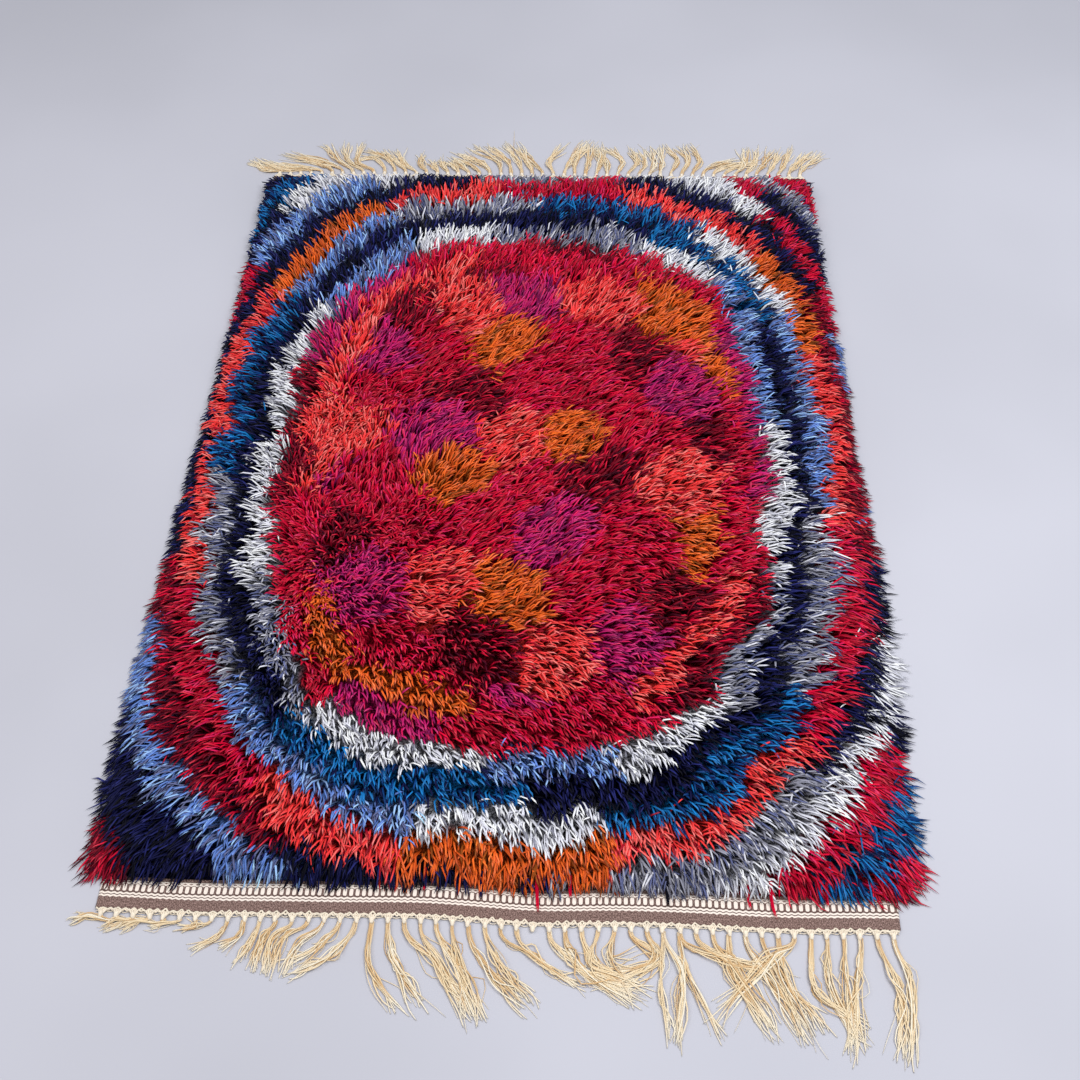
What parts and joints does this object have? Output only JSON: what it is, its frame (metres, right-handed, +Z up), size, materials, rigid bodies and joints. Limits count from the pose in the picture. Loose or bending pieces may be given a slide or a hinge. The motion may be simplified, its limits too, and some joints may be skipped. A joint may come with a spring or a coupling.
{
  "type": "rya rug",
  "caption": "Shaggy knotted wool rug lying flat, with a woven webbing and a knotted fringe along each short end.",
  "frame": {"origin": "middle of the rug's underside, on the floor that it lies on", "axes": "+X along the short ends, +Y along the rug towards its far end, +Z up through the pile"},
  "size_m": [1.4662, 2.2919, 0.0535],
  "materials": {
    "wool_pile": "long matt wool yarn with a soft sheen, in reds, magenta, rust, blues, greys and white",
    "woven_webbing": "flat woven cotton tape in brown and cream",
    "fringe_yarn": "cream and straw-coloured twisted warp yarn"
  },
  "bodies": {
    "root": {"pile_field": "wool_pile", "near_webbing": "woven_webbing", "far_webbing": "woven_webbing", "near_fringe": "fringe_yarn", "far_fringe": "fringe_yarn"}
  },
  "joints": []
}
